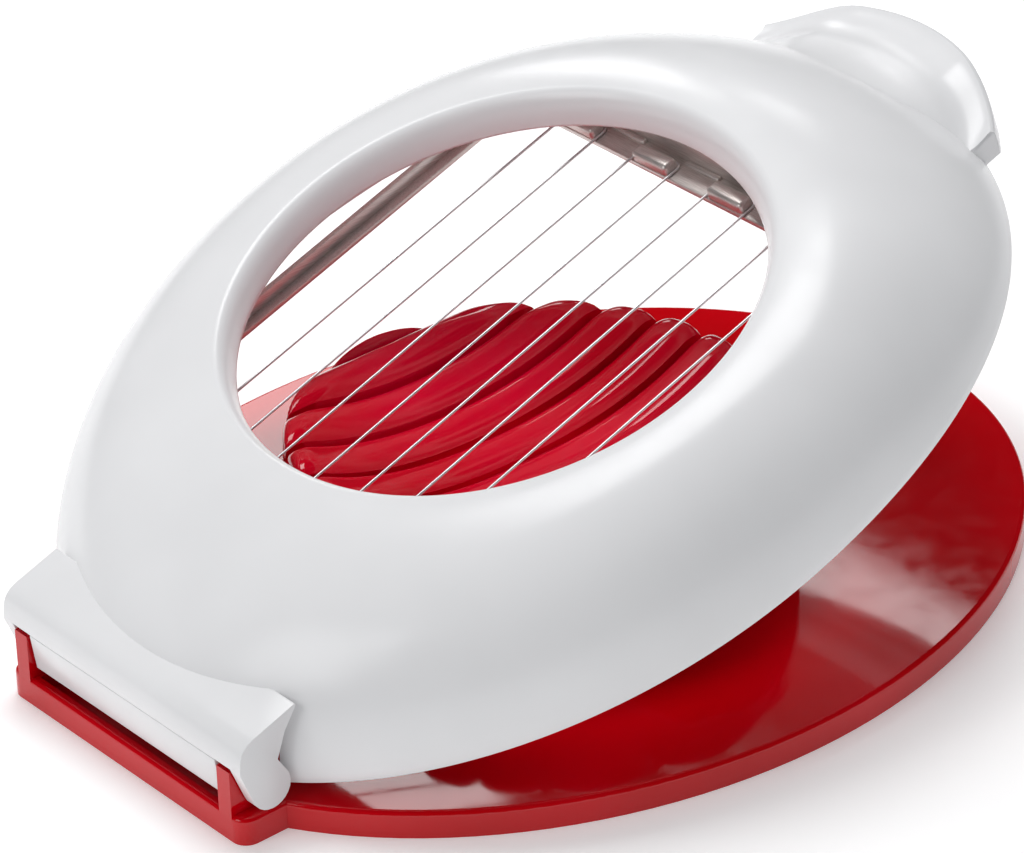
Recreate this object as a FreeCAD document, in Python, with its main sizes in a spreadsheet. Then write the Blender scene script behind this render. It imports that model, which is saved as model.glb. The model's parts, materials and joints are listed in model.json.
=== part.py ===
import FreeCAD, Part
import math
import os

import Sketcher
from FreeCAD import Placement, Rotation, Vector

# Egg slicer. Millimetres, +Z up, origin at the middle of the resting face, the hinge towards -X
# and the lifting tab towards +X. The cover and all it carries are drawn closed and then turned
# about the hinge to the half-open rest position.

doc = FreeCAD.newDocument("EggSlicer")

DIMENSIONS = {
    # base tray
    "base_half_length": 64.0,
    "base_half_width": 51.4,
    "base_height": 3.5,
    "top_skin": 1.9,
    "skirt_wall": 1.8,
    "top_edge_round": 0.6,
    "rib_width": 1.8,
    "centre_foot_radius": 6.0,
    "block_depth": 10.0,
    "block_half_width": 22.2,
    "block_corner_round": 2.0,
    "front_wall": 1.2,
    "well_back_x": 55.0,
    "well_half_width": 17.6,
    "well_floor": 1.2,
    # hinge
    "hinge_x": -59.7,
    "hinge_z": 6.44,
    "rest_opening": 19.0,
    "post_inner_y": 17.9,
    "post_thickness": 2.3,
    "post_front_top": 9.4,
    "post_round": 2.7,
    "pin_radius": 1.0,
    "pin_clearance": 0.05,
    "pin_reach": 1.4,
    # egg cradle
    "cradle_shift": -0.4,
    "cradle_foot_x": 30.4,
    "cradle_foot_y": 31.6,
    "cradle_waist_x": 30.3,
    "cradle_waist_y": 32.2,
    "cradle_waist_z": 14.0,
    "cradle_rim_x": 30.0,
    "cradle_rim_y": 31.9,
    "cradle_rim_z": 19.8,
    "cradle_wall": 2.2,
    "cradle_roof_z": 10.4,
    "bowl_floor_z": 14.6,
    "bowl_rim_x": 27.6,
    "bowl_rim_y": 29.4,
    "bowl_centre_z": 32.0,
    "slot_floor_z": 12.8,
    "wire_slot": 1.4,
    "peg_radius": 1.8,
    "peg_clearance": 0.05,
    "peg_x": 16.0,
    "peg_y": 18.0,
    "peg_tip_z": 0.8,
    # cover shell
    "cover_rim_x": 63.3,
    "cover_rim_y": 50.8,
    "cover_rim_z": 3.72,
    "cover_rim_shift": 0.6,
    "cover_wall": 2.0,
    "crest_radius": 34.4,
    "crest_z": 22.8,
    "opening_shift": 1.2,
    "lip_radius": 32.6,
    "lip_z": 18.0,
    "lip_wall": 1.9,
    # lifting tab
    "tab_centre_x": 42.7,
    "tab_radius": 28.1,
    "tab_half_width": 20.2,
    "tab_root_x": 52.0,
    "tab_top_z": 9.7,
    "tab_wall": 2.0,
    # hinge crosspiece
    "crosspiece_half_width": 22.3,
    "cheek_thickness": 1.8,
    "cheek_round": 2.65,
    "crosspiece_top_z": 14.3,
    "crosspiece_front_x": -61.3,
    "crosspiece_back_x": -52.8,
    "waist_x": -57.6,
    "waist_z": 9.3,
    "strip_line_x": -62.6,
    "strip_line_z": 11.2,
    "strip_foot_x": -63.5,
    "strip_foot_z": 7.1,
    "strip_thickness": 1.2,
    "post_slot_radius": 5.55,
    "post_slot_clearance": 0.3,
    # wire frame
    "wire_pitch": 6.65,
    "wire_radius": 0.2,
    "wire_z": 14.06,
    "frame_front_x": 31.0,
    "frame_back_x": 35.3,
    "frame_half_width": 36.2,
    "sheet_thickness": 0.8,
    "bar_flange_half_width": 28.0,
    "bar_height": 4.6,
    "bar_corner_round": 3.0,
    "pad_depth": 2.3,
    "pad_height": 1.8,
    "pad_corner_round": 0.8,
    "rail_inner_y": 33.4,
    "rail_flange": 1.4,
    "rail_height": 2.5,
    # fixings
    "screw_x": 32.9,
    "screw_y": 30.2,
    "screw_radius": 1.1,
    "screw_head_radius": 1.9,
    "screw_head_height": 1.1,
    "screw_length": 6.5,
    "boss_radius": 2.3,
    "boss_top_z": 20.5,
}

WIRE_COUNT = 8
SECTION_STEPS = 6
SECTION_POWER = 0.75
SECTION_LIFT = 1.1

sheet = doc.addObject("Spreadsheet::Sheet", "Dimensions")
for row, (alias, value) in enumerate(DIMENSIONS.items(), start=1):
    sheet.set(f"A{row}", alias)
    sheet.set(f"B{row}", str(value))
    sheet.setAlias(f"B{row}", alias)
doc.recompute()


def size(alias):
    """A driving dimension as a plain number, for work that expressions can't do."""
    return float(getattr(sheet, alias))


def bind(obj, **expressions):
    """Bind properties of an object; a name such as Placement_Base_x means .Placement.Base.x."""
    for name, expression in expressions.items():
        path = "." + name.replace("_", ".") if name.startswith("Placement") else name
        text = expression
        for alias in sorted(DIMENSIONS, key=len, reverse=True):
            text = text.replace("$" + alias, "Dimensions." + alias)
        obj.setExpression(path, text)
    return obj


def add(kind, name, **expressions):
    return bind(doc.addObject(kind, name), **expressions)


def box(name, x, y, z, length, width, height):
    return add("Part::Box", name, Placement_Base_x=x, Placement_Base_y=y, Placement_Base_z=z,
               Length=length, Width=width, Height=height)


def cylinder(name, x, y, z, radius, height):
    return add("Part::Cylinder", name, Placement_Base_x=x, Placement_Base_y=y,
               Placement_Base_z=z, Radius=radius, Height=height)


def cross_cylinder(name, x, y, z, radius, height):
    """A cylinder along +Y that starts at y."""
    made = doc.addObject("Part::Cylinder", name)
    made.Placement = Placement(Vector(0, 0, 0), Rotation(Vector(1, 0, 0), -90))
    return bind(made, Placement_Base_x=x, Placement_Base_y=y, Placement_Base_z=z,
                Radius=radius, Height=height)


def ellipse(name, x, z, along_x, along_y):
    """An ellipse in a horizontal plane. along_x may be the shorter half axis."""
    made = doc.addObject("Part::Ellipse", name)
    longer_is_x = doc_value(along_x) >= doc_value(along_y)
    if not longer_is_x:
        made.Placement = Placement(Vector(0, 0, 0), Rotation(Vector(0, 0, 1), 90))
    major, minor = (along_x, along_y) if longer_is_x else (along_y, along_x)
    return bind(made, Placement_Base_x=x, Placement_Base_z=z, MajorRadius=major,
                MinorRadius=minor)


def doc_value(expression):
    """The number that an expression stands for."""
    text = expression
    for alias in sorted(DIMENSIONS, key=len, reverse=True):
        text = text.replace("$" + alias, "Dimensions." + alias)
    result = sheet.evalExpression(text)
    return float(getattr(result, "Value", result))


def extrusion(name, profile, height):
    made = doc.addObject("Part::Extrusion", name)
    made.Base = profile
    made.DirMode = "Custom"
    made.Dir = Vector(0, 0, 1)
    made.Solid = True
    return bind(made, LengthFwd=height)


def loft(name, sections):
    made = doc.addObject("Part::Loft", name)
    made.Sections = sections
    made.Solid = True
    made.Ruled = False
    return made


def fuse(name, *shapes):
    made = doc.addObject("Part::MultiFuse", name)
    made.Shapes = list(shapes)
    return made


def cut(name, base, *tools):
    """base less every tool."""
    made = doc.addObject("Part::Cut", name)
    made.Base = base
    made.Tool = tools[0] if len(tools) == 1 else fuse(name + "_tools", *tools)
    return made


def common(name, first, second):
    made = doc.addObject("Part::MultiCommon", name)
    made.Shapes = [first, second]
    return made


def round_edges(name, base, radius, wanted):
    """Fillet the edges of base for which wanted(edge) is true."""
    doc.recompute()
    made = doc.addObject("Part::Fillet", name)
    made.Base = base
    value = size(radius)
    made.Edges = [(index, value, value) for index, edge in enumerate(base.Shape.Edges, start=1)
                  if wanted(edge)]
    return made


def padded_profile(name, corners, width, middle_y="0"):
    """A body whose polygon lies in the XZ plane and is padded both ways along Y."""
    body = doc.addObject("PartDesign::Body", name)
    sketch = body.newObject("Sketcher::SketchObject", name + "_profile")
    plane = [item for item in body.Origin.OriginFeatures if item.Role == "XZ_Plane"][0]
    sketch.AttachmentSupport = [(plane, "")]
    sketch.MapMode = "FlatFace"
    points = [Vector(doc_value(x), doc_value(z), 0) for x, z in corners]
    count = len(points)
    for index in range(count):
        sketch.addGeometry(Part.LineSegment(points[index], points[(index + 1) % count]), False)
    for index in range(count):
        sketch.addConstraint(Sketcher.Constraint("Coincident", index, 2, (index + 1) % count, 1))
    for index, (x, z) in enumerate(corners):
        for kind, text, value in (("DistanceX", x, points[index].x),
                                  ("DistanceY", z, points[index].y)):
            number = sketch.addConstraint(Sketcher.Constraint(kind, -1, 1, index, 1, value))
            bind(sketch, **{f"Constraints[{number}]": text})
    pad = body.newObject("PartDesign::Pad", name + "_pad")
    pad.Profile = sketch
    pad.SideType = "Symmetric"
    bind(pad, Length=width)
    bind(body, Placement_Base_y=middle_y)
    return body


TURN_X = "$hinge_x - ($hinge_x * cos($rest_opening) - $hinge_z * sin($rest_opening))"
TURN_Z = "$hinge_z - ($hinge_x * sin($rest_opening) + $hinge_z * cos($rest_opening))"


def open_with_cover(obj):
    """Turn a finished cover piece about the hinge, from closed to the rest position."""
    obj.Placement = Placement(obj.Placement.Base, Rotation(Vector(0, -1, 0), 0))
    return bind(obj, Placement_Base_x=TURN_X, Placement_Base_z=TURN_Z,
                Placement_Rotation_Angle="$rest_opening")


def base_tray():
    """Oval plate with a skirt, the hinge block with its well, and two hinge posts."""
    outline = ellipse("tray_outline", "0", "0", "$base_half_length", "$base_half_width")
    plate = extrusion("tray_plate", outline, "$base_height")
    block = box("tray_block", "-$base_half_length", "-$block_half_width", "0",
                "$block_depth", "2 * $block_half_width", "$base_height")
    front = -size("base_half_length")
    rounded_block = round_edges(
        "tray_block_round", block, "block_corner_round",
        lambda edge: all(abs(v.X - front) < 0.01 for v in edge.Vertexes)
        and abs(edge.Vertexes[0].Y - edge.Vertexes[-1].Y) < 0.01)
    slab = fuse("tray_slab", plate, rounded_block)
    top = size("base_height")
    softened = round_edges(
        "tray_soft_edge", slab, "top_edge_round",
        lambda edge: all(abs(v.Z - top) < 0.01 for v in edge.Vertexes))
    inner = ellipse("tray_hollow_outline", "0", "-1", "$base_half_length - $skirt_wall",
                    "$base_half_width - $skirt_wall")
    hollow = extrusion("tray_hollow_full", inner, "1 + $base_height - $top_skin")
    kept = [box("tray_hinge_land", "-$base_half_length", "-$base_half_width", "-2",
                "$block_depth + 1", "2 * $base_half_width", "2 + $base_height"),
            box("tray_long_rib", "-$base_half_length", "-$rib_width / 2", "-2",
                "2 * $base_half_length", "$rib_width", "2 + $base_height"),
            box("tray_cross_rib", "-$rib_width / 2", "-$base_half_width", "-2",
                "$rib_width", "2 * $base_half_width", "2 + $base_height"),
            cylinder("tray_centre_foot", "0", "0", "-2", "$centre_foot_radius",
                     "2 + $base_height")]
    well = box("tray_well", "-$base_half_length + $front_wall", "-$well_half_width",
               "$well_floor", "$base_half_length - $front_wall - $well_back_x",
               "2 * $well_half_width", "$base_height")
    peg_holes = [cylinder(f"tray_peg_hole_{number}", x, y, "-1", "$peg_radius + $peg_clearance",
                          "2 + $base_height")
                 for number, (x, y) in enumerate(peg_places(), start=1)]
    tray = cut("tray_open", softened, cut("tray_hollow", hollow, *kept), well, *peg_holes)
    posts = []
    pin_holes = []
    for side, sign in (("left", 1), ("right", -1)):
        middle = f"{sign} * ($post_inner_y + $post_thickness / 2)"
        posts.append(padded_profile(
            f"tray_post_{side}",
            [("-$base_half_length", "$base_height - 0.5"),
             ("-$base_half_length", "$post_front_top"),
             ("-$base_half_length + 0.7", "$post_front_top + 0.1"),
             ("$hinge_x", "$hinge_z + $post_round"),
             ("$hinge_x + $post_round * sin(45)", "$hinge_z + $post_round * cos(45)"),
             ("$hinge_x + $post_round", "$hinge_z"),
             ("$hinge_x + $post_round + 0.4", "$base_height - 0.5")],
            "$post_thickness", middle))
        start = "$post_inner_y - 1" if sign > 0 else "-$post_inner_y - $post_thickness - 1"
        pin_holes.append(cross_cylinder(f"tray_pin_hole_{side}", "$hinge_x", start, "$hinge_z",
                                        "$pin_radius", "$post_thickness + 2"))
    return cut("base_tray", fuse("tray_with_posts", tray, *posts), *pin_holes)


def peg_places():
    """Expressions for the four pegs that hold the cradle on the tray."""
    return [(f"{sx} * $peg_x", f"{sy} * $peg_y") for sx in (-1, 1) for sy in (-1, 1)]


def egg_cradle():
    """Round cup, cut into bands by a slot under each wire and one more beyond each end wire."""
    sections = [ellipse(f"cradle_section_{place}", "$cradle_shift", z, f"$cradle_{place}_x",
                        f"$cradle_{place}_y")
                for place, z in (("foot", "$base_height"), ("waist", "$cradle_waist_z"),
                                 ("rim", "$cradle_rim_z"))]
    outside = loft("cradle_outside", sections)
    drop = "($bowl_centre_z - $cradle_rim_z) / ($bowl_centre_z - $bowl_floor_z)"
    spread = f"sqrt(1 - ({drop}) ^ 2)"
    bowl = add("Part::Ellipsoid", "cradle_bowl", Placement_Base_x="$cradle_shift",
               Placement_Base_z="$bowl_centre_z",
               Radius1="$bowl_centre_z - $bowl_floor_z", Radius2=f"$bowl_rim_x / {spread}",
               Radius3=f"$bowl_rim_y / {spread}")
    bowl.Angle1 = -90
    bowl.Angle2 = 90
    under = ellipse("cradle_under_outline", "$cradle_shift", "$base_height - 1",
                    "$cradle_foot_x - $cradle_wall", "$cradle_foot_y - $cradle_wall")
    hollow = extrusion("cradle_hollow", under, "1 + $cradle_roof_z - $base_height")
    slots = []
    for index in range(WIRE_COUNT + 2):
        place = f"{index - (WIRE_COUNT + 1) / 2} * $wire_pitch"
        slots.append(box(f"cradle_slot_{index + 1}", "-50", f"{place} - $wire_slot / 2",
                         "$slot_floor_z", "100", "$wire_slot", "20"))
    cup = cut("cradle_cup", outside, bowl, hollow, *slots)
    pegs = [cylinder(f"cradle_peg_{number}", x, y, "$peg_tip_z", "$peg_radius",
                     "$cradle_roof_z + 1 - $peg_tip_z")
            for number, (x, y) in enumerate(peg_places(), start=1)]
    return fuse("egg_cradle", cup, *pegs)


def cover_sections(name, thinner, lower, count=SECTION_STEPS):
    """Ellipses from the rim up to the crest; thinner and lower are the wall, or 0."""
    made = []
    for step in range(count + 1):
        angle = 90.0 * step / count
        across = f"cos({angle}) ^ {SECTION_POWER}" if step < count else "0"
        lift = f"sin({angle}) ^ {SECTION_LIFT}" if step else "0"
        half = {axis: f"$crest_radius + ($cover_rim_{axis} - $crest_radius) * {across} - {thinner}"
                for axis in "xy"}
        shift = f"$opening_shift + ($cover_rim_shift - $opening_shift) * {across}"
        height = f"$cover_rim_z + ($crest_z - $cover_rim_z) * {lift} - {lower} * {lift}"
        if lower != "0" and step == 0:
            height = "$cover_rim_z - 0.5"
        made.append(ellipse(f"{name}_{step}", shift, height, half["x"], half["y"]))
    return made


def cover_opening():
    """The round opening: a straight throat below the lip, flared out to the crest."""
    throat = cylinder("cover_throat", "$opening_shift", "0", "$lip_z - 10", "$lip_radius", "10")
    flare = add("Part::Cone", "cover_flare", Placement_Base_x="$opening_shift",
                Placement_Base_z="$lip_z", Radius1="$lip_radius", Radius2="$crest_radius",
                Height="$crest_z - $lip_z")
    above = cylinder("cover_above", "$opening_shift", "0", "$crest_z", "$crest_radius", "5")
    return [throat, flare, above]


def crosspiece():
    """The bar across the hinge end: one block between the posts and a cheek outside each."""
    low_middle = "$strip_foot_z + 0.5"
    middle = padded_profile(
        "cover_crosspiece_middle",
        [("$strip_line_x", "$strip_line_z"), ("$crosspiece_front_x", "$crosspiece_top_z"),
         ("$crosspiece_back_x", "$crosspiece_top_z"), ("$waist_x", "$waist_z"),
         ("$waist_x - 1", low_middle), ("$strip_foot_x + $strip_thickness + 0.4", low_middle),
         ("$strip_line_x + $strip_thickness + 0.05", "$strip_line_z")],
        "2 * $crosspiece_half_width")
    cheeks = []
    for side, sign in (("left", 1), ("right", -1)):
        centre = f"{sign} * ($crosspiece_half_width - $cheek_thickness / 2)"
        cheeks.append(padded_profile(
            f"cover_cheek_{side}",
            [("$hinge_x - $cheek_round", "$hinge_z"), ("$strip_line_x", "$strip_line_z"),
             ("$crosspiece_front_x", "$crosspiece_top_z"),
             ("$crosspiece_back_x", "$crosspiece_top_z"), ("$waist_x", "$waist_z"),
             ("$hinge_x + $cheek_round", "$hinge_z")],
            "$cheek_thickness", centre))
        start = ("$crosspiece_half_width - $cheek_thickness" if sign > 0
                 else "-$crosspiece_half_width")
        cheeks.append(cross_cylinder(f"cover_cheek_round_{side}", "$hinge_x", start, "$hinge_z",
                                     "$cheek_round", "$cheek_thickness"))
    return [middle] + cheeks


def cover_shell():
    """Domed ring with a round opening, a lifting tab, the hinge crosspiece and screw bosses."""
    outside = loft("cover_outside", cover_sections("cover_outer", "0", "0"))
    inside = loft("cover_inside", cover_sections("cover_inner", "$cover_wall", "$cover_wall"))
    tab_disc = cylinder("tab_disc", "$tab_centre_x", "0", "$cover_rim_z", "$tab_radius",
                        "$tab_top_z - $cover_rim_z")
    tab_limits = box("tab_limits", "$tab_root_x", "-$tab_half_width", "0", "30",
                     "2 * $tab_half_width", "20")
    tab = common("tab_outer", tab_disc, tab_limits)
    hollow_disc = cylinder("tab_hollow_disc", "$tab_centre_x", "0", "0",
                           "$tab_radius - $tab_wall", "$tab_top_z - $tab_wall")
    hollow_limits = box("tab_hollow_limits", "$tab_root_x - 1", "-$tab_half_width + $tab_wall",
                        "0", "30", "2 * ($tab_half_width - $tab_wall)", "20")
    tab_hollow = common("tab_hollow", hollow_disc, hollow_limits)
    skin = cut("cover_skin", fuse("cover_solid", outside, tab), inside, tab_hollow)
    lip = cylinder("cover_lip", "$opening_shift", "0", "$lip_z", "$lip_radius + $lip_wall",
                   "$crest_z - 1 - $lip_z")
    bosses = [cylinder(f"cover_boss_{number}", x, y, "$wire_z - $wire_radius", "$boss_radius",
                       "$boss_top_z - $wire_z + $wire_radius")
              for number, (x, y) in enumerate(screw_places(), start=1)]
    boss_limit = common("cover_bosses", fuse("cover_boss_set", *bosses), outside)
    low_wall = box("cover_low_wall", "-$base_half_length - 2",
                   "-$post_inner_y + $post_slot_clearance", "0",
                   "$base_half_length + 2 + $waist_x - 1",
                   "2 * ($post_inner_y - $post_slot_clearance)", "$strip_foot_z + 0.5")
    body = cut("cover_trimmed", fuse("cover_raw", skin, lip), low_wall)
    solid = fuse("cover_joined", body, boss_limit, *crosspiece())
    tools = cover_opening()
    for side, sign in (("left", 1), ("right", -1)):
        gap = "($post_thickness + 2 * $post_slot_clearance)"
        low = "$post_inner_y - $post_slot_clearance"
        start = low if sign > 0 else f"-({low}) - {gap}"
        tools.append(cross_cylinder(f"cover_post_slot_{side}", "$hinge_x", start, "$hinge_z",
                                    "$post_slot_radius", gap))
        reach = "$post_inner_y + $post_thickness - 0.5"
        depth = "$pin_reach + 0.6"
        bore_start = reach if sign > 0 else f"-({reach}) - ({depth})"
        tools.append(cross_cylinder(f"cover_pin_bore_{side}", "$hinge_x", bore_start, "$hinge_z",
                                    "$pin_radius + $pin_clearance", depth))
    for number, (x, y) in enumerate(screw_places(), start=1):
        tools.append(cylinder(f"cover_screw_hole_{number}", x, y, "$wire_z - 2",
                              "$screw_radius", "$screw_length"))
    return open_with_cover(cut("cover_shell", solid, *tools))


def hinge_strip():
    """Flat strip between the posts, set into the front of the crosspiece."""
    return open_with_cover(padded_profile(
        "hinge_strip",
        [("$strip_foot_x", "$strip_foot_z"), ("$strip_line_x", "$strip_line_z"),
         ("$strip_line_x + $strip_thickness", "$strip_line_z"),
         ("$strip_foot_x + $strip_thickness", "$strip_foot_z")],
        "2 * ($post_inner_y - $post_slot_clearance)"))


def hinge_pin(side, sign):
    """Steel pin pressed into a post; its outer end turns in the cheek's blind bore."""
    length = "$post_thickness + $pin_reach"
    start = "$post_inner_y" if sign > 0 else f"-$post_inner_y - ({length})"
    return cross_cylinder(f"hinge_pin_{side}", "$hinge_x", start, "$hinge_z", "$pin_radius",
                          length)


def screw_places():
    """Expressions for the four screws that hold the wire frame."""
    return [(f"{sx} * $screw_x", f"{sy} * $screw_y") for sx in (-1, 1) for sy in (-1, 1)]


def wire_y(number):
    """Distance of a wire from the middle; wire 1 is the one furthest towards +Y."""
    return size("wire_pitch") * ((WIRE_COUNT + 1) / 2 - number)


def end_bar(name, sign):
    """Folded end bar: a web under the wires, a back flange and pads that the wires turn round."""
    web_top = "$wire_z - $wire_radius"
    if sign > 0:
        web_x, flange_x = "$frame_front_x", "$frame_back_x - $sheet_thickness"
    else:
        web_x, flange_x = "-$frame_back_x", "-$frame_back_x"
    web = box(name + "_web", web_x, "-$frame_half_width", f"{web_top} - $sheet_thickness",
              "$frame_back_x - $frame_front_x", "2 * $frame_half_width", "$sheet_thickness")
    back = sign * size("frame_back_x")
    web = round_edges(
        name + "_web_round", web, "bar_corner_round",
        lambda edge: all(abs(v.X - back) < 0.01 for v in edge.Vertexes)
        and abs(edge.Vertexes[0].Y - edge.Vertexes[-1].Y) < 0.01)
    flange = box(name + "_flange", flange_x, "-$bar_flange_half_width",
                 f"{web_top} - $sheet_thickness", "$sheet_thickness",
                 "2 * $bar_flange_half_width", "$bar_height")
    pads = []
    first = 1 if sign > 0 else 2
    for number in range(first, WIRE_COUNT, 2):
        low_y = f"{(WIRE_COUNT + 1) / 2 - number - 1} * $wire_pitch + $wire_radius"
        pad_x = "$frame_front_x" if sign > 0 else "-$frame_front_x - $pad_depth"
        pad = box(f"{name}_pad_{number}", pad_x, low_y, f"{web_top} - 0.1", "$pad_depth",
                  "$wire_pitch - 2 * $wire_radius", "$pad_height + 0.1")
        outer = sign * (size("frame_front_x") + size("pad_depth"))
        pads.append(round_edges(
            f"{name}_pad_{number}_round", pad, "pad_corner_round",
            lambda edge: all(abs(v.X - outer) < 0.01 for v in edge.Vertexes)
            and abs(edge.Vertexes[0].Y - edge.Vertexes[-1].Y) < 0.01))
    folded = fuse(name + "_folded", web, flange, *pads)
    holes = [cylinder(f"{name}_screw_hole_{number}", x, y, f"{web_top} - 3",
                      "$screw_radius + 0.1", "4")
             for number, (x, y) in enumerate(screw_places(), start=1)]
    return open_with_cover(cut(name, folded, *holes))


def side_rail(name, sign):
    """Folded side rail under the two end bars, its lower flange turned inwards."""
    foot = "$wire_z - $wire_radius - $sheet_thickness - $rail_height"
    length = "2 * ($frame_back_x - $sheet_thickness)"
    x = "-($frame_back_x - $sheet_thickness)"
    flange_y = "$rail_inner_y" if sign > 0 else "-$rail_inner_y - $rail_flange"
    wall_y = ("$rail_inner_y + $rail_flange" if sign > 0
              else "-$rail_inner_y - $rail_flange - $sheet_thickness")
    flange = box(name + "_flange", x, flange_y, foot, length, "$rail_flange",
                 "$sheet_thickness")
    wall = box(name + "_wall", x, wall_y, foot, length, "$sheet_thickness", "$rail_height")
    return open_with_cover(fuse(name, flange, wall))


def tube(path):
    """Sweep the wire's round section along a path of straight runs and tangent arcs."""
    start = path.OrderedEdges[0]
    place = start.valueAt(start.FirstParameter)
    along = start.tangentAt(start.FirstParameter)
    section = Part.Wire([Part.makeCircle(size("wire_radius"), place, along)])
    return path.makePipeShell([section], True, False)


def placed_wire(name, shape):
    made = doc.addObject("Part::Feature", name)
    made.Shape = shape
    return open_with_cover(made)


def wire_loop(name, number):
    """A hairpin: out along one wire, round the pad of the tab bar and back along the next."""
    bend = 1.0
    anchor = -size("frame_back_x") + size("sheet_thickness") + 0.6
    far = size("frame_front_x") + size("pad_depth") + size("wire_radius")
    high, low, level = wire_y(number), wire_y(number + 1), size("wire_z")
    slant = bend * (1 - math.sqrt(0.5))
    edges = [
        Part.LineSegment(Vector(anchor, high, level), Vector(far - bend, high, level)),
        Part.Arc(Vector(far - bend, high, level), Vector(far - slant, high - slant, level),
                 Vector(far, high - bend, level)),
        Part.LineSegment(Vector(far, high - bend, level), Vector(far, low + bend, level)),
        Part.Arc(Vector(far, low + bend, level), Vector(far - slant, low + slant, level),
                 Vector(far - bend, low, level)),
        Part.LineSegment(Vector(far - bend, low, level), Vector(anchor, low, level)),
    ]
    return placed_wire(name, tube(Part.Wire([edge.toShape() for edge in edges])))


def frame_screws():
    """Four pan-head screws from below, through the end bars into the cover's bosses."""
    solids = []
    seat = "$wire_z - $wire_radius - $sheet_thickness"
    for number, (x, y) in enumerate(screw_places(), start=1):
        solids.append(cylinder(f"screw_head_{number}", x, y, f"{seat} - $screw_head_height",
                               "$screw_head_radius", "$screw_head_height"))
        solids.append(cylinder(f"screw_shank_{number}", x, y, f"{seat} - 0.2",
                               "$screw_radius", "$screw_length - 2.5"))
    return open_with_cover(fuse("frame_screws", *solids))


parts = [
    base_tray(),
    egg_cradle(),
    hinge_pin("left", 1),
    hinge_pin("right", -1),
    cover_shell(),
    hinge_strip(),
    end_bar("frame_tab_bar", 1),
    end_bar("frame_hinge_bar", -1),
    side_rail("frame_rail_left", 1),
    side_rail("frame_rail_right", -1),
]
parts += [wire_loop(f"wire_loop_{index + 1}", 2 * index + 1) for index in range(WIRE_COUNT // 2)]
parts.append(frame_screws())

doc.recompute()

for obj in doc.Objects:
    if "Invalid" in obj.State or "Error" in obj.State:
        raise RuntimeError(f"{obj.Name} did not build: {obj.State}")

os.makedirs("parts", exist_ok=True)
for part in parts:
    part.Label = part.Name
    shape = part.Shape
    if shape.isNull() or not shape.isValid() or not shape.Solids:
        raise RuntimeError(f"{part.Label} has no valid solid")
    shape.exportStep(f"parts/{part.Label}.step")
    bounds = shape.optimalBoundingBox()
    print(f"{part.Label}: {len(shape.Solids)} solid(s), {shape.Volume:.1f} mm3, "
          f"x {bounds.XMin:.2f}..{bounds.XMax:.2f} y {bounds.YMin:.2f}..{bounds.YMax:.2f} "
          f"z {bounds.ZMin:.2f}..{bounds.ZMax:.2f}")
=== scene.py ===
"""Egg slicer, half open: the looks of every piece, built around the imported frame.

Lengths are in millimetres while a shape is worked out, and in metres once it is in a mesh. The
cover's pieces are worked out closed and then turned about the hinge to the rest position.
"""

import json
import math

import bmesh
import bpy
import numpy as np
from mathutils import Matrix, Vector


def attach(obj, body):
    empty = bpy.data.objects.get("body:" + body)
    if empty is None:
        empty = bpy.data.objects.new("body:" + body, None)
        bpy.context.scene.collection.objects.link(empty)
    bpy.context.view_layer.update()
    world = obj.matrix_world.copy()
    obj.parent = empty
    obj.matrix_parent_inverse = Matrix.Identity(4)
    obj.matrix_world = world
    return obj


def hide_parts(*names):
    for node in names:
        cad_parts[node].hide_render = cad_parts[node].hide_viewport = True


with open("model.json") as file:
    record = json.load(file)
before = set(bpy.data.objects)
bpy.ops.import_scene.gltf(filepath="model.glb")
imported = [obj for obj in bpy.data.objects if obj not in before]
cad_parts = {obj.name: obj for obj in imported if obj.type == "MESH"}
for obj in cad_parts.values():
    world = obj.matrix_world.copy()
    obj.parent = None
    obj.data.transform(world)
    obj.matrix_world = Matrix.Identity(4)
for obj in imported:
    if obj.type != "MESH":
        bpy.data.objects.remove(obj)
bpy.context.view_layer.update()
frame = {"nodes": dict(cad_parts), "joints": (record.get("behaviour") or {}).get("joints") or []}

MM = 0.001
HINGE = frame["joints"][0]
HINGE_X = HINGE["pos_m"][0] / MM
HINGE_Z = HINGE["pos_m"][2] / MM
OPENING = -math.radians(HINGE["range_deg"][0])
TURN = (Matrix.Translation((HINGE_X * MM, 0, HINGE_Z * MM))
        @ Matrix.Rotation(-OPENING, 4, "Y")
        @ Matrix.Translation((-HINGE_X * MM, 0, -HINGE_Z * MM)))

# sizes that several pieces share; WIRE_Z is the height of the wires with the cover closed
WIRE_PITCH = 6.65
WIRE_COUNT = 8
WIRE_RADIUS = 0.2
WIRE_Z = 14.06
TRAY_TOP = 3.5


def smooth_step(value, low, high):
    t = np.clip((value - low) / (high - low), 0, 1)
    return t * t * (3 - 2 * t)


# ---------------------------------------------------------------- mesh helpers

def make_object(name, points, faces, closed_cover=False):
    """A mesh object from points in millimetres; cover pieces are given closed and turned open."""
    mesh = bpy.data.meshes.new(name)
    mesh.from_pydata([tuple(float(c) * MM for c in p) for p in points], [], faces)
    mesh.update()
    if closed_cover:
        mesh.transform(TURN)
    obj = bpy.data.objects.new(name, mesh)
    bpy.context.scene.collection.objects.link(obj)
    return obj


def grid_faces(rows, columns, wrap_rows=False, wrap_columns=False):
    faces = []
    for i in range(rows if wrap_rows else rows - 1):
        for j in range(columns if wrap_columns else columns - 1):
            k, n = (i + 1) % rows, (j + 1) % columns
            faces.append((i * columns + j, i * columns + n, k * columns + n, k * columns + j))
    return faces


def fix_normals(obj):
    bm = bmesh.new()
    bm.from_mesh(obj.data)
    bmesh.ops.remove_doubles(bm, verts=bm.verts, dist=1e-7)
    bmesh.ops.dissolve_degenerate(bm, dist=1e-8, edges=bm.edges)
    bmesh.ops.recalc_face_normals(bm, faces=bm.faces)
    bm.to_mesh(obj.data)
    bm.free()


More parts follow.
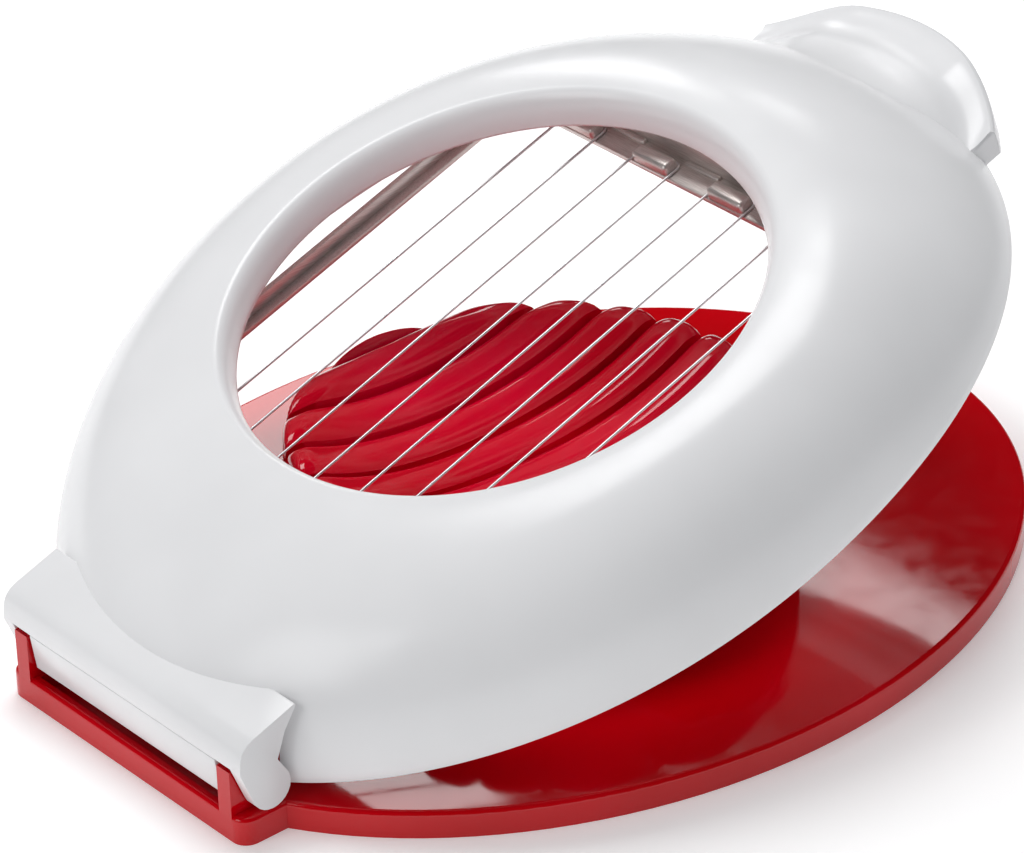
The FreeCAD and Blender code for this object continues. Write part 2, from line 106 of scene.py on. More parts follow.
def settle(obj):
    """Turn the object's modifiers into its mesh."""
    graph = bpy.context.evaluated_depsgraph_get()
    mesh = bpy.data.meshes.new_from_object(obj.evaluated_get(graph))
    old = obj.data
    obj.modifiers.clear()
    obj.data = mesh
    bpy.data.meshes.remove(old)
    return obj


def shade(obj, degrees=35):
    """Smooth shading, with an edge where faces meet at more than this angle."""
    obj.data.shade_smooth()
    bm = bmesh.new()
    bm.from_mesh(obj.data)
    limit = math.radians(degrees)
    for edge in bm.edges:
        edge.smooth = len(edge.link_faces) == 2 and edge.calc_face_angle(0) < limit
    bm.to_mesh(obj.data)
    bm.free()
    return obj


def boolean(obj, tool, operation):
    modifier = obj.modifiers.new("boolean", "BOOLEAN")
    modifier.operation = operation
    modifier.solver = "EXACT"
    modifier.object = tool
    bpy.context.view_layer.update()
    settle(obj)
    mesh = tool.data
    bpy.data.objects.remove(tool)
    bpy.data.meshes.remove(mesh)
    return obj


def bevel(obj, width, segments=3, degrees=30):
    modifier = obj.modifiers.new("bevel", "BEVEL")
    modifier.width = width * MM
    modifier.segments = segments
    modifier.limit_method = "ANGLE"
    modifier.angle_limit = math.radians(degrees)
    modifier.miter_outer = "MITER_ARC"
    return settle(obj)


def prism(name, outline, y_low, y_high, closed_cover=True):
    """An outline in the XZ plane, extruded along Y."""
    count = len(outline)
    points = [(x, y, z) for y in (y_low, y_high) for x, z in outline]
    faces = grid_faces(2, count, wrap_columns=True)
    faces += [tuple(range(count)), tuple(range(2 * count - 1, count - 1, -1))]
    obj = make_object(name, points, faces, closed_cover)
    fix_normals(obj)
    return obj


def block(name, low, high, closed_cover=True):
    (x0, y0, z0), (x1, y1, z1) = low, high
    return prism(name, [(x0, z0), (x1, z0), (x1, z1), (x0, z1)], y0, y1, closed_cover)


def arc(centre, radius, start, end, steps):
    """Points on an arc, in degrees."""
    return [(centre[0] + radius * math.cos(math.radians(a)),
             centre[1] + radius * math.sin(math.radians(a)))
            for a in np.linspace(start, end, steps)]


# ---------------------------------------------------------------- cover

RIM_X, RIM_Y, RIM_Z, RIM_SHIFT = 63.3, 50.8, 3.72, 0.6
CREST_R, CREST_Z, CREST_SHIFT = 34.5, 22.3, 1.8
LIP_R, LIP_Z, LIP_SHIFT = 32.4, 18.2, 1.3
COVER_WALL = 2.0
RIM_ROUND = 0.5
SHOULDER_BULGE = 0.026
RING_STEPS = 288

# powers of the dome's curve, outwards and upwards, at the tab end, the hinge end and the sides
OUT_TAB, OUT_HINGE, OUT_SIDE = 1.22, 0.85, 0.90
UP_TAB, UP_HINGE, UP_SIDE = 1.5, 1.14, 1.02

# rounded foot of the lip, and where its back meets the inside of the crest
LIP_FOOT_HALF, LIP_FOOT_DEPTH = 0.8, 0.6
LIP_BACK, CREST_ROOF = 1.75, 3.0


def end_weights(angle):
    """How much a direction belongs to the tab end, the hinge end and the sides."""
    c, s = math.cos(angle), math.sin(angle)
    return max(c, 0) ** 2, max(-c, 0) ** 2, s * s


def cover_point(angle, rise, inset=0.0):
    """A point of the dome: rise goes from 0 at the rim to 90 degrees at the crest."""
    tab, hinge, side = end_weights(angle)
    out_power = OUT_TAB * tab + OUT_HINGE * hinge + OUT_SIDE * side
    up_power = UP_TAB * tab + UP_HINGE * hinge + UP_SIDE * side
    u = math.radians(rise)
    out = math.cos(u) ** out_power if rise < 89.99 else 0.0
    up = math.sin(u) ** up_power if rise > 0.01 else 0.0
    bulge = SHOULDER_BULGE * math.sin(2 * angle) ** 2 * out if math.cos(angle) > 0 else 0.0
    half_x = (CREST_R + (RIM_X - CREST_R) * out) * (1 + bulge) - inset
    half_y = (CREST_R + (RIM_Y - CREST_R) * out) * (1 + bulge) - inset
    shift = CREST_SHIFT + (RIM_SHIFT - CREST_SHIFT) * out
    return (shift + half_x * math.cos(angle), half_y * math.sin(angle),
            RIM_Z + (CREST_Z - RIM_Z - inset) * up)


def lip_point(angle, radius, height, shift):
    return (shift + radius * math.cos(angle), radius * math.sin(angle), height)


def cover_section(angle):
    """Closed section of the ring: up the outside, over the crest, down the lip, back inside."""
    points = [cover_point(angle, 0, COVER_WALL)]
    for step in range(4):
        t = math.radians(30 * step)
        inner = cover_point(angle, 0, RIM_ROUND * (1 - math.sin(t)))
        points.append((inner[0], inner[1], RIM_Z + RIM_ROUND * (1 - math.cos(t))))
    for rise in np.linspace(6, 90, 34):
        points.append(cover_point(angle, rise))
    for turn in np.linspace(8, 90, 12):
        t = math.radians(turn)
        radius = LIP_R + (CREST_R - LIP_R) * (1 - math.sin(t))
        height = LIP_Z + (CREST_Z - LIP_Z) * math.cos(t)
        shift = LIP_SHIFT + (CREST_SHIFT - LIP_SHIFT) * math.cos(t)
        points.append(lip_point(angle, radius, height, shift))
    for turn in (45, 90, 135, 180):
        t = math.radians(turn)
        points.append(lip_point(angle, LIP_R + LIP_FOOT_HALF * (1 - math.cos(t)),
                                LIP_Z - LIP_FOOT_DEPTH * math.sin(t), LIP_SHIFT))
    points.append(lip_point(angle, LIP_R + LIP_BACK, CREST_Z - CREST_ROOF, LIP_SHIFT))
    for rise in np.linspace(78, 0, 14):
        points.append(cover_point(angle, rise, COVER_WALL))
    return points[:-1]


def cover_ring():
    rows = [cover_section(2 * math.pi * k / RING_STEPS) for k in range(RING_STEPS)]
    points = [p for row in rows for p in row]
    obj = make_object("cover", points, grid_faces(RING_STEPS, len(rows[0]), True, True))
    fix_normals(obj)
    return obj


TAB_CENTRE, TAB_RADIUS, TAB_HALF, TAB_EDGE_Z = 42.7, 28.1, 20.2, 9.7
TAB_ROOT_X = 50.0
TAB_FALL, TAB_FALL_START = 2.4, 9.0
TAB_DIP, TAB_CURL, TAB_SCOOP = 0.5, 4.6, 16.0
TAB_ROUND = 0.7
TAB_WALL, TAB_ROOF = 2.0, 1.8
TAB_STEPS = 26


def tab_outline(shrink):
    half = TAB_HALF - shrink
    radius = TAB_RADIUS - shrink
    reach = math.degrees(math.asin(half / radius))
    return [(TAB_CENTRE + radius * math.cos(math.radians(a)),
             radius * math.sin(math.radians(a))) for a in np.linspace(-reach, reach, 49)]


def tab_height(x, y):
    """Scooped top: a slight dip behind the outer edge, then a curl up into the dome."""
    edge = TAB_CENTRE + math.sqrt(max(TAB_RADIUS ** 2 - y * y, 0))
    t = min(max((edge - x) / TAB_SCOOP, 0), 1)
    fall = TAB_FALL * smooth_step(abs(y), TAB_FALL_START, TAB_HALF)
    dip = TAB_DIP * math.sin(math.pi * min(t * 2.2, 1))
    return TAB_EDGE_Z - fall - dip + TAB_CURL * t ** 2.6


def lifting_tab():
    """D-shaped tab with a scooped top; its outer edge is rounded."""
    rows = []
    for x, y in tab_outline(0):
        row = [(TAB_ROOT_X, y, RIM_Z), (x, y, RIM_Z)]
        for turn in np.linspace(0, 75, 5):
            t = math.radians(turn)
            inward = TAB_ROUND * (1 - math.cos(t))
            px = x - inward * (x - TAB_CENTRE) / TAB_RADIUS
            row.append((px, y * (1 - inward / TAB_RADIUS),
                        tab_height(x, y) - TAB_ROUND + TAB_ROUND * math.sin(t)))
        start = row[-1][0]
        for k in range(1, TAB_STEPS + 1):
            px = start + (TAB_ROOT_X - start) * k / TAB_STEPS
            row.append((px, y * (1 - TAB_ROUND / TAB_RADIUS), tab_height(px, y)))
        rows.append(row)
    width = len(rows[0])
    points = [p for row in rows for p in row]
    faces = grid_faces(len(rows), width, wrap_columns=True)
    faces += [tuple(range(width)), tuple(range(len(points) - 1, len(points) - width - 1, -1))]
    obj = make_object("tab", points, faces)
    fix_normals(obj)
    hollow = tab_outline(TAB_WALL)
    back = TAB_ROOT_X + 2 * TAB_WALL
    low = [(back, hollow[0][1])] + hollow + [(back, hollow[-1][1])]
    count = len(low)
    points = [(x, y, z) for z in (RIM_Z - 2, TAB_EDGE_Z - TAB_FALL - TAB_ROOF) for x, y in low]
    faces = grid_faces(2, count, wrap_columns=True)
    faces += [tuple(range(count)), tuple(range(2 * count - 1, count - 1, -1))]
    tool = make_object("tab_hollow", points, faces)
    fix_normals(tool)
    return boolean(obj, tool, "DIFFERENCE")


BAR_HALF = 22.3
BAR_BOTTOM = (-63.5, 7.1)
BAR_LINE = (-62.6, 11.2)
BAR_FRONT = (-61.3, 14.3)
BAR_BACK = (-52.6, 14.3)
BAR_BACK_BEND = (-55.4, 12.0)
BAR_WAIST = (-57.6, 9.3)
BAR_FRONT_ROUND, BAR_BACK_ROUND, BAR_EDGE = 2.1, 0.7, 0.45
BAR_CUT_Z = BAR_BOTTOM[1] + 0.5
CHEEK_ROUND = 2.7
CHEEK_INNER = 20.5
STRIP_HALF = 17.5
STRIP_THICK = 1.2
STRIP_HEM = 0.9
STRIP_GAP, STRIP_TOP_GAP = 0.1, 0.25
SLOT_RADIUS = 5.6
OUTSIDE_X = -70


def soft_corner(before, corner, after, reach):
    """A corner replaced by a smooth curve that starts and ends this far from it."""
    corner = Vector(corner)
    start = corner + (Vector(before) - corner).normalized() * reach
    end = corner + (Vector(after) - corner).normalized() * reach
    return [tuple(start * (1 - t) ** 2 + corner * 2 * t * (1 - t) + end * t * t)
            for t in np.linspace(0, 1, 9)]


def cut_post_slots(obj):
    """Round slots about the hinge line, one beside each cheek, for the posts of the tray."""
    steps = 48
    for sign in (1, -1):
        y_low, y_high = sorted((sign * (STRIP_HALF + STRIP_GAP), sign * CHEEK_INNER))
        circle = arc((HINGE_X, HINGE_Z), SLOT_RADIUS, 0, 360 - 360 / steps, steps)
        boolean(obj, prism("slot", circle, y_low, y_high, False), "DIFFERENCE")


def hinge_bar():
    """The bar across the hinge end, its round-bottomed cheeks and the slots for the posts."""
    side = [BAR_LINE]
    side += soft_corner(BAR_LINE, BAR_FRONT, BAR_BACK, BAR_FRONT_ROUND)
    side += soft_corner(BAR_FRONT, BAR_BACK, BAR_WAIST, BAR_BACK_ROUND)
    side += [BAR_BACK_BEND, BAR_WAIST]
    side += arc((HINGE_X, HINGE_Z), CHEEK_ROUND, 20, -180, 15)
    bar = prism("hinge_bar", side, -BAR_HALF, BAR_HALF, False)
    gap = block("gap", (OUTSIDE_X, -CHEEK_INNER, -2), (-40, CHEEK_INNER, BAR_CUT_Z), False)
    boolean(bar, gap, "DIFFERENCE")
    half = STRIP_HALF + STRIP_GAP
    recess = prism("recess", [(-66, 5), (BAR_BOTTOM[0] + STRIP_THICK + 0.3, 5),
                              (BAR_LINE[0] + STRIP_THICK + 0.05, BAR_LINE[1]),
                              (-66, BAR_LINE[1])], -half, half, False)
    boolean(bar, recess, "DIFFERENCE")
    cut_post_slots(bar)
    return bevel(bar, BAR_EDGE, 3, 40)


def cover_shell():
    """The whole cover in one skin: dome and lip, lifting tab, hinge bar."""
    ring = cover_ring()
    half = STRIP_HALF + STRIP_GAP
    low_cut = block("low_cut", (OUTSIDE_X, -half, 0), (HINGE_X + 1.1, half, BAR_CUT_Z), False)
    boolean(ring, low_cut, "DIFFERENCE")
    cut_post_slots(ring)
    boolean(ring, lifting_tab(), "UNION")
    boolean(ring, hinge_bar(), "UNION")
    ring.data.transform(TURN)
    ring.name = "cover"
    return shade(ring, 28)


def hinge_strip():
    """Flat strip between the posts, in the recess at the front of the hinge bar."""
    x, z = BAR_BOTTOM[0], BAR_BOTTOM[1] - STRIP_HEM
    top_x, top_z = BAR_LINE[0], BAR_LINE[1] - STRIP_TOP_GAP
    outline = [(x, z), (top_x, top_z), (top_x + STRIP_THICK, top_z), (x + STRIP_THICK, z)]
    return shade(bevel(prism("strip", outline, -STRIP_HALF, STRIP_HALF), 0.2, 2))


# ---------------------------------------------------------------- cradle

# each level: height, half length, half width
CRADLE_LEVELS = ((TRAY_TOP, 30.4, 31.6), (14.0, 30.3, 31.9), (22.0, 29.9, 31.5))
CRADLE_SHIFT = -0.4
CROWN_Z = 20.4
END_DROP = 1.4
SLOT_FLOOR = 12.8
SLOT_HALF = 0.55
SLOT_COUNT = WIRE_COUNT + 2
BOWL_FLOOR, BOWL_X, BOWL_Y, BOWL_POWER = 14.4, 27.9, 29.6, 2.5
BAND_DROP, BAND_POWER = 1.7, 3.0
END_ROUND = 1.6
BAND_ROWS, END_ROWS, ROW_POINTS = 15, 22, 62
WALL_POINTS, BOWL_POINTS = 40, 160
SLOT_WALL = 0.01
RIM_SPACING, RIM_REACH = 0.12, 19


def cradle_half_axes(z):
    levels = np.array(CRADLE_LEVELS)
    return np.interp(z, levels[:, 0], levels[:, 1]), np.interp(z, levels[:, 0], levels[:, 2])


def outer_x(y, z):
    a, b = cradle_half_axes(z)
    return a * math.sqrt(max(1 - (y / b) ** 2, 0))


def crown_height(y):
    return CROWN_Z - END_DROP * (abs(y) / CRADLE_LEVELS[-1][2]) ** 4


def bowl_height(x, y):
    reach = math.hypot(x / BOWL_X, y / BOWL_Y)
    return BOWL_FLOOR + (CROWN_Z - BOWL_FLOOR) * reach ** BOWL_POWER


def highest_outside(y):
    """Highest level at which the outside still reaches this far along Y."""
    low, high = TRAY_TOP, CRADLE_LEVELS[-1][0]
    for _ in range(40):
        middle = (low + high) / 2
        if cradle_half_axes(middle)[1] > abs(y):
            low = middle
        else:
            high = middle
    return low


def cradle_row(y, drop):
    """Half a section at one y, from the foot to the middle: wall, rounded rim, bowl."""
    top = min(crown_height(y), highest_outside(y)) - drop
    top = max(top, TRAY_TOP + 0.01)
    wall = [(outer_x(y, z), z) for z in np.linspace(TRAY_TOP, top, WALL_POINTS)]
    edge = wall[-1][0]
    inner = [(x, min(top, bowl_height(x, y) - drop))
             for x in np.linspace(edge, 0, BOWL_POINTS)[1:]]
    line = np.array(wall + inner)
    step = np.hypot(*np.diff(line, axis=0).T)
    along = np.concatenate([[0], np.cumsum(step)])
    fine = np.arange(0, along[-1], RIM_SPACING)
    x, z = (np.interp(fine, along, line[:, k]) for k in (0, 1))
    reach = RIM_REACH
    kernel = np.exp(-np.linspace(-2, 2, 2 * reach + 1) ** 2)
    kernel /= kernel.sum()
    padded_x = np.concatenate([np.full(reach, x[0]), x, -x[::-1][1:reach + 1]])
    padded_z = np.concatenate([2 * z[0] - z[1:reach + 1][::-1], z, z[::-1][1:reach + 1]])
    if len(padded_x) == len(padded_z) and len(x) > 2 * reach:
        x = np.convolve(padded_x, kernel, "same")[reach:reach + len(x)]
        z = np.convolve(padded_z, kernel, "same")[reach:reach + len(z)]
    at = fine[-1] * np.linspace(0, 1, ROW_POINTS)
    row = np.column_stack([np.interp(at, fine, x), np.interp(at, fine, z)])
    row[0] = (outer_x(y, TRAY_TOP), TRAY_TOP)
    row[-1, 0] = 0
    return row


def full_row(y, half, floor=None):
    """Both halves of a section, from +X to -X, kept below the floor if one is given."""
    z = half[:, 1] if floor is None else np.minimum(half[:, 1], floor)
    right = [(CRADLE_SHIFT + x, y, h) for x, h in zip(half[:, 0], z)]
    left = [(CRADLE_SHIFT - x, y, h) for x, h in zip(half[-2::-1, 0], z[-2::-1])]
    return right + left


def cradle_band(low, high, rows):
    """One band between two slots, crowned across its width."""
    middle, half_width = (low + high) / 2, WIRE_PITCH / 2
    made = []
    for share in np.sin(np.linspace(-math.pi / 2, math.pi / 2, BAND_ROWS)):
        y = middle + share * (high - low) / 2
        drop = BAND_DROP * abs((y - middle) / half_width) ** BAND_POWER
        made.append((y, cradle_row(y, drop)))
    rows.append(full_row(made[0][0] - SLOT_WALL, made[0][1], SLOT_FLOOR))
    rows.extend(full_row(y, half) for y, half in made)
    rows.append(full_row(made[-1][0] + SLOT_WALL, made[-1][1], SLOT_FLOOR))


def cradle_end(sign, rows):
    """The end piece beyond the last slot, down to the foot."""
    start = (SLOT_COUNT - 1) / 2 * WIRE_PITCH + SLOT_HALF
    foot = CRADLE_LEVELS[0][2] - 0.02
    made = []
    for share in np.sin(np.linspace(0, math.pi / 2, END_ROWS)):
        y = start + (foot - start) * share
        drop = BAND_DROP * max(1 - (y - start) / END_ROUND, 0) ** 2
        made.append((sign * y, cradle_row(y, drop)))
    inner = full_row(made[0][0] - sign * SLOT_WALL, made[0][1], SLOT_FLOOR)
    piece = [inner] + [full_row(y, half) for y, half in made]
    rows.extend(piece if sign > 0 else piece[::-1])


def egg_cradle():
    """Rows of sections across the cradle, closed below and at both ends."""
    rows = []
    cradle_end(-1, rows)
    for k in range(SLOT_COUNT - 1):
        low = (k - (SLOT_COUNT - 1) / 2) * WIRE_PITCH
        cradle_band(low + SLOT_HALF, low + WIRE_PITCH - SLOT_HALF, rows)
    cradle_end(1, rows)
    width = len(rows[0])
    points = [p for row in rows for p in row]
    faces = grid_faces(len(rows), width, wrap_columns=True)
    faces.append(tuple(range(width)))
    faces.append(tuple(range(len(points) - 1, len(points) - width - 1, -1)))
    obj = make_object("cradle", points, faces)
    fix_normals(obj)
    return shade(obj, 40)


# ---------------------------------------------------------------- wire frame

BAR_X0, BAR_X1 = 31.0, 35.3
SHEET = 0.8
WEB_TOP = WIRE_Z - WIRE_RADIUS
BAR_LENGTH_HALF = 36.2
FOLD = 0.25
FLANGE_HALF, FLANGE_HEIGHT = 28.0, 3.8
PAD_X0, PAD_X1 = BAR_X0 + 0.1, BAR_X0 + 2.3
PAD_SINK, PAD_HEIGHT, PAD_ROUND = 0.4, 1.5, 0.6
RIDGE_X0, RIDGE_X1 = BAR_X0 + 2.8, BAR_X0 + 3.6
RIDGE_SINK, RIDGE_HEIGHT, RIDGE_GAP = 0.3, 0.45, 0.3
RAIL_WALL_Y, RAIL_FOOT_Y, RAIL_DEPTH = 34.8, 33.4, 2.5
WIRE_BEND = 1.0
WIRE_ANCHOR = -BAR_X1 + SHEET + 0.6
WIRE_THINNER = 0.03


def wire_y(number):
    return ((WIRE_COUNT + 1) / 2 - number) * WIRE_PITCH


def join(name, objects):
    bm = bmesh.new()
    for obj in objects:
        bm.from_mesh(obj.data)
    mesh = bpy.data.meshes.new(name)
    bm.to_mesh(mesh)
    bm.free()
    for obj in objects:
        old = obj.data
        bpy.data.objects.remove(obj)
        bpy.data.meshes.remove(old)
    made = bpy.data.objects.new(name, mesh)
    bpy.context.scene.collection.objects.link(made)
    return made


def end_bar(name, sign):
    """Folded bar: web, tall back flange, and pressed pads that the wires turn round."""
    def place(x0, x1):
        return sorted((sign * x0, sign * x1))
    pieces = []
    x0, x1 = place(BAR_X0, BAR_X1)
    web = block("web", (x0, -BAR_LENGTH_HALF, WEB_TOP - SHEET), (x1, BAR_LENGTH_HALF, WEB_TOP))
    pieces.append(bevel(web, FOLD, 2))
    x0, x1 = place(BAR_X1 - SHEET, BAR_X1)
    flange = block("flange", (x0, -FLANGE_HALF, WEB_TOP - SHEET),
                   (x1, FLANGE_HALF, WEB_TOP + FLANGE_HEIGHT))
    pieces.append(bevel(flange, FOLD, 2))
    first = 1 if sign > 0 else 2
    for number in range(first, WIRE_COUNT, 2):
        x0, x1 = place(PAD_X0, PAD_X1)
        y_low = wire_y(number + 1) + WIRE_RADIUS
        pad = block("pad", (x0, y_low, WEB_TOP - PAD_SINK),
                    (x1, y_low + WIRE_PITCH - 2 * WIRE_RADIUS, WEB_TOP + PAD_HEIGHT))
        pieces.append(bevel(pad, PAD_ROUND, 4))
        x0, x1 = place(RIDGE_X0, RIDGE_X1)
        ridge = block("ridge", (x0, y_low - WIRE_PITCH + RIDGE_GAP, WEB_TOP - RIDGE_SINK),
                      (x1, y_low - RIDGE_GAP, WEB_TOP + RIDGE_HEIGHT))
        pieces.append(bevel(ridge, RIDGE_SINK, 3))
    return shade(join(name, pieces))


def side_rail(name, sign):
    """Folded rail along the side, under the end bars."""
    def place(y0, y1):
        return sorted((sign * y0, sign * y1))
    reach = BAR_X1 - SHEET
    top = WEB_TOP - SHEET
    foot = top - RAIL_DEPTH
    y0, y1 = place(RAIL_FOOT_Y, RAIL_WALL_Y + SHEET)
    flange = block("flange", (-reach, y0, foot), (reach, y1, foot + SHEET))
    y0, y1 = place(RAIL_WALL_Y, RAIL_WALL_Y + SHEET)
    wall = block("wall", (-reach, y0, foot), (reach, y1, top))
    return shade(join(name, [bevel(flange, FOLD, 2), bevel(wall, FOLD, 2)]))


def tube(name, path, radius, sides=12):
    """A round wire along a path in the horizontal plane of the wires, closed at both ends."""
    points = np.array(path, float)
    tangents = np.gradient(points, axis=0)
    tangents /= np.linalg.norm(tangents, axis=1)[:, None]
    up = np.array([0.0, 0.0, 1.0])
    rows = []
    for point, tangent in zip(points, tangents):
        side = np.cross(tangent, up)
        side /= np.linalg.norm(side)
        rows.append([point + radius * (math.cos(a) * side + math.sin(a) * up)
                     for a in np.linspace(0, 2 * math.pi, sides, endpoint=False)])
    flat = [p for row in rows for p in row]
    faces = grid_faces(len(rows), sides, wrap_columns=True)
    faces += [tuple(range(sides)), tuple(range(len(flat) - 1, len(flat) - sides - 1, -1))]
    obj = make_object(name, flat, faces, True)
    fix_normals(obj)
    return shade(obj, 50)


def wire_loop(name, number):
    """One hairpin: out along a wire, round a pad of the tab bar, and back along the next wire.

    It is a little thinner than the frame's own wire.
    """
    turn_x = PAD_X1 + WIRE_RADIUS - WIRE_BEND
    high, low = wire_y(number), wire_y(number + 1)
    path = [(x, high) for x in np.linspace(WIRE_ANCHOR, turn_x, 12)]
    path += arc((turn_x, high - WIRE_BEND), WIRE_BEND, 90, 0, 8)[1:]
    path += arc((turn_x, low + WIRE_BEND), WIRE_BEND, 0, -90, 8)
    path += [(x, low) for x in np.linspace(turn_x, WIRE_ANCHOR, 12)][1:]
    return tube(name, [(x, y, WIRE_Z) for x, y in path], WIRE_RADIUS - WIRE_THINNER)


# ---------------------------------------------------------------- materials

class Nodes:
    """Small helper for writing a node tree in a few lines."""

    def __init__(self, name):
        self.material = bpy.data.materials.new(name)
        self.material.use_nodes = True
        self.tree = self.material.node_tree
        self.shader = self.tree.nodes["Principled BSDF"]

    def add(self, kind, inputs):
        node = self.tree.nodes.new(kind)
        for key, value in inputs.items():
            if isinstance(value, bpy.types.NodeSocket):
                self.tree.links.new(value, node.inputs[key])
            else:
                node.inputs[key].default_value = value
        return node

    def link(self, socket, name):
        """Feed one input of the shader."""
        self.tree.links.new(socket, self.shader.inputs[name])

    def place(self):
        return self.add("ShaderNodeTexCoord", {}).outputs["Object"]

    def noise(self, scale, detail, vector=None):
        node = self.add("ShaderNodeTexNoise", {"Vector": vector or self.place(),
                                               "Scale": scale, "Detail": detail})
        return node.outputs["Fac"]

    def ramp(self, fac, low, high):
        node = self.add("ShaderNodeValToRGB", {"Fac": fac})
        for element, position, colour in zip(node.color_ramp.elements, (0.35, 0.65), (low, high)):
            element.position = position
            element.color = (*colour, 1)
        return node.outputs["Color"]

    def spread(self, fac, low, high):
        node = self.add("ShaderNodeMapRange", {"Value": fac, "From Min": 0.3, "From Max": 0.7,
                                               "To Min": low, "To Max": high})
        return node.outputs["Result"]

    def bump(self, height, strength, distance):
        node = self.add("ShaderNodeBump", {"Height": height, "Strength": strength,
                                           "Distance": distance})
        self.link(node.outputs["Normal"], "Normal")


def white_plastic():
    n = Nodes("cover_white")
    n.link(n.ramp(n.noise(45, 2), (0.82, 0.82, 0.83), (0.86, 0.86, 0.87)), "Base Color")
    n.link(n.spread(n.noise(260, 4), 0.20, 0.27), "Roughness")
    n.bump(n.noise(900, 3), 0.05, 0.00008)
    n.shader.inputs["Specular IOR Level"].default_value = 0.45
    n.shader.inputs["Subsurface Weight"].default_value = 0.08
    n.shader.inputs["Subsurface Radius"].default_value = (0.002, 0.002, 0.002)
    return n.material


def red_plastic(name, dark, light, roughness):
    n = Nodes(name)
    n.link(n.ramp(n.noise(38, 2), dark, light), "Base Color")
    n.link(n.spread(n.noise(300, 4), roughness, roughness + 0.04), "Roughness")
    n.bump(n.noise(140, 2), 0.05, 0.00010)
    n.shader.inputs["Specular IOR Level"].default_value = 0.5
    return n.material


def steel(name, dark, light, roughness, along=(1, 1, 1), grain=1500, relief=0.15):
    """Drawn steel: fine lines along one direction."""
    n = Nodes(name)
    mapping = n.add("ShaderNodeMapping", {"Vector": n.place(), "Scale": along})
    lines = n.noise(grain, 4, mapping.outputs["Vector"])
    n.link(n.ramp(lines, dark, light), "Base Color")
    n.link(n.spread(lines, roughness, roughness + 0.12), "Roughness")
    n.bump(lines, relief, 0.00003)
    n.shader.inputs["Metallic"].default_value = 0.75
    return n.material


def dress(obj, material):
    obj.data.materials.clear()
    obj.data.materials.append(material)


# ---------------------------------------------------------------- assembly

WHITE = white_plastic()
TRAY_RED = red_plastic("tray_red", (0.53, 0.0, 0.003), (0.61, 0.0, 0.006), 0.04)
CRADLE_RED = red_plastic("cradle_red", (0.66, 0.0, 0.014), (0.78, 0.0, 0.030), 0.05)
BAR_STEEL = steel("bar_steel", (0.62, 0.56, 0.53), (0.80, 0.74, 0.71), 0.30, (8, 0.3, 8))
RAIL_STEEL = steel("rail_steel", (0.62, 0.57, 0.54), (0.82, 0.77, 0.74), 0.34, (0.3, 8, 8))
WIRE_STEEL = steel("wire_steel", (0.70, 0.69, 0.71), (0.82, 0.81, 0.82), 0.26, (1, 1, 1), 120, 0.02)
PIN_STEEL = steel("pin_steel", (0.50, 0.49, 0.48), (0.68, 0.67, 0.66), 0.25)


def assemble():
    """Dress every piece, and hide the frame's solids that the new pieces stand for."""
    def put(obj, body, material, slot, *nodes):
        dress(obj, material)
        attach(obj, body)
        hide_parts(*nodes)
    put(cover_shell(), "cover", WHITE, "cover_plastic", "cover_shell")
    put(hinge_strip(), "cover", WHITE, "cover_plastic", "hinge_strip")
    put(egg_cradle(), "base", CRADLE_RED, "base_plastic", "egg_cradle")
    put(end_bar("tab_bar", 1), "cover", BAR_STEEL, "frame_steel", "frame_tab_bar")
    put(end_bar("hinge_end_bar", -1), "cover", BAR_STEEL, "frame_steel", "frame_hinge_bar")
    put(side_rail("rail_left", 1), "cover", RAIL_STEEL, "frame_steel", "frame_rail_left")
    put(side_rail("rail_right", -1), "cover", RAIL_STEEL, "frame_steel", "frame_rail_right")
    for number in range(1, WIRE_COUNT // 2 + 1):
        put(wire_loop(f"hairpin_{number}", 2 * number - 1), "cover", WIRE_STEEL,
            "wire_steel", f"wire_loop_{number}")
    dress(frame["nodes"]["base_tray"], TRAY_RED)
    for name in ("hinge_pin_left", "hinge_pin_right", "frame_screws"):
        dress(frame["nodes"][name], PIN_STEEL)


# ---------------------------------------------------------------- studio

FLOOR_REACH = 3000

# strength of the world on dull surfaces, in reflections, and seen behind the object
WORLD_FILL, WORLD_GLOSSY, WORLD_BACKDROP = 0.40, 0.022, 1.0

# name, place, point it faces, size in metres, watts
LIGHTS = (
    ("overhead", (0.10, 0.22, 0.68), (0, 0, 0.02), (0.40, 0.30), 2.5),
    ("left", (-0.75, 0.05, 0.42), (0, 0, 0.02), (0.40, 0.40), 1.35),
    ("behind", (0.27, 0.42, 0.31), (-0.02, 0, 0.0), (0.10, 0.16), 0.22),
    ("low_right", (0.348, 0.31, 0.327), (0.348, 0.31, 0.0), (0.074, 0.09), 0.085),
)


def area_light(name, location, target, size, power):
    data = bpy.data.lights.new(name, "AREA")
    data.shape = "RECTANGLE"
    data.size, data.size_y = size
    data.energy = power
    obj = bpy.data.objects.new(name, data)
    obj.location = location
    direction = Vector(target) - Vector(location)
    obj.rotation_euler = direction.to_track_quat("-Z", "Y").to_euler()
    bpy.context.scene.collection.objects.link(obj)


def paper_floor():
    reach = FLOOR_REACH
    corners = [(-reach, -reach, 0), (reach, -reach, 0), (reach, reach, 0), (-reach, reach, 0)]
    floor = make_object("floor", corners, [(0, 1, 2, 3)])
    n = Nodes("floor_paper")
    n.shader.inputs["Base Color"].default_value = (0.97, 0.97, 0.97, 1)
    n.shader.inputs["Emission Color"].default_value = (1, 1, 1, 1)
    n.shader.inputs["Emission Strength"].default_value = 0.20
    n.shader.inputs["Roughness"].default_value = 0.9
    dress(floor, n.material)


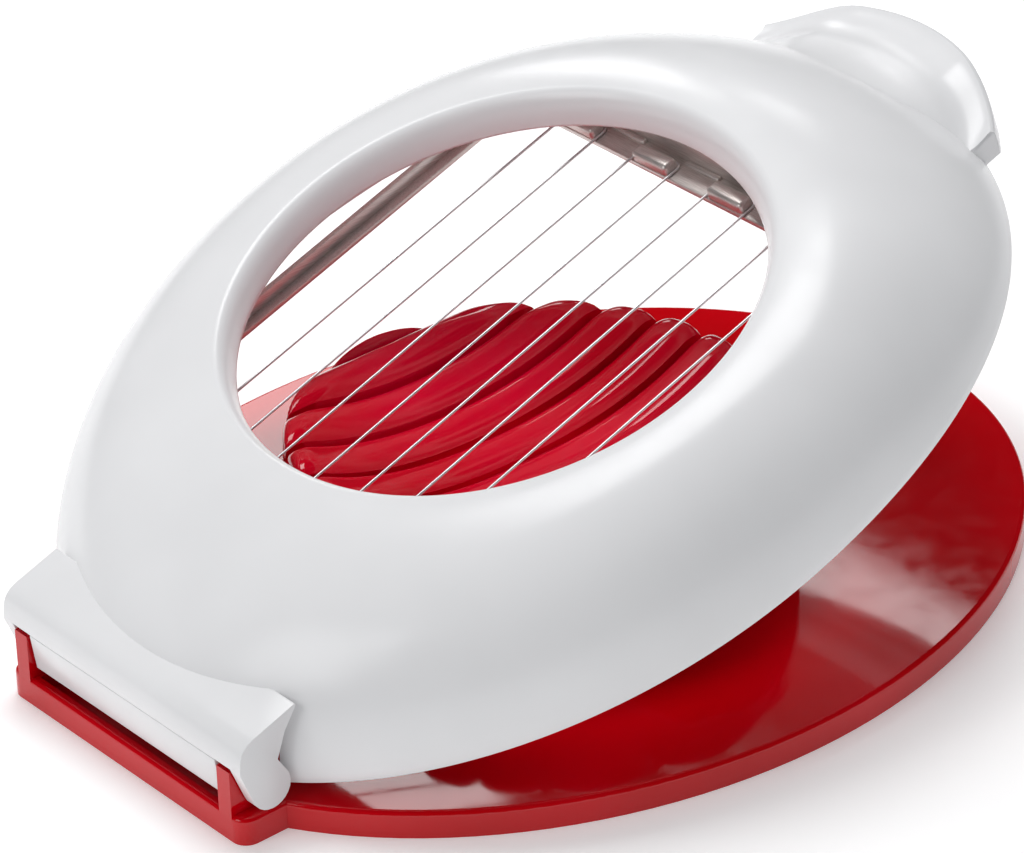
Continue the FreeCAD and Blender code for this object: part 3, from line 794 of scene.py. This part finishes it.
def soft_world():
    """A pale world that lights evenly, hardly shows in reflections, and is white behind."""
    world = bpy.data.worlds.new("studio")
    world.use_nodes = True
    bpy.context.scene.world = world
    tree = world.node_tree
    path = tree.nodes.new("ShaderNodeLightPath")

    def switch(output, value):
        node = tree.nodes.new("ShaderNodeMapRange")
        tree.links.new(path.outputs[output], node.inputs["Value"])
        node.inputs["To Max"].default_value = value
        return node
    glossy = switch("Is Glossy Ray", WORLD_GLOSSY)
    glossy.inputs["To Min"].default_value = WORLD_FILL
    camera = switch("Is Camera Ray", WORLD_BACKDROP)
    tree.links.new(glossy.outputs["Result"], camera.inputs["To Min"])
    background = tree.nodes["Background"]
    background.inputs["Color"].default_value = (0.97, 0.98, 1, 1)
    tree.links.new(camera.outputs["Result"], background.inputs["Strength"])


def studio():
    paper_floor()
    soft_world()
    for light in LIGHTS:
        area_light(*light)


# azimuth, elevation and roll in degrees; target and distance in metres
CAMERA_ANGLES = (-39.705, 30.676, -1.85)
CAMERA_TARGET = (0.01838, 0.02771, 0)
CAMERA_DISTANCE = 0.6764
CAMERA_LENS = 187.79


def photo_camera():
    """Long lens from the hinge end, the near side and above, turned slightly."""
    azimuth, elevation, roll = (math.radians(v) for v in CAMERA_ANGLES)
    back = Vector((math.sin(azimuth) * math.cos(elevation),
                   -math.cos(azimuth) * math.cos(elevation), math.sin(elevation)))
    right = Vector((math.cos(azimuth), math.sin(azimuth), 0))
    up = back.cross(right)
    turned_right = right * math.cos(roll) + up * math.sin(roll)
    turned_up = up * math.cos(roll) - right * math.sin(roll)
    data = bpy.data.cameras.new("camera")
    data.sensor_width = 36
    data.lens = CAMERA_LENS
    data.clip_start, data.clip_end = 0.01, 10
    camera = bpy.data.objects.new("camera", data)
    rotation = Matrix((turned_right, turned_up, back)).transposed()
    place = Vector(CAMERA_TARGET) + back * CAMERA_DISTANCE
    camera.matrix_world = Matrix.Translation(place) @ rotation.to_4x4()
    bpy.context.scene.collection.objects.link(camera)
    bpy.context.scene.camera = camera


assemble()
studio()
photo_camera()
bpy.context.scene.view_settings.view_transform = "Standard"
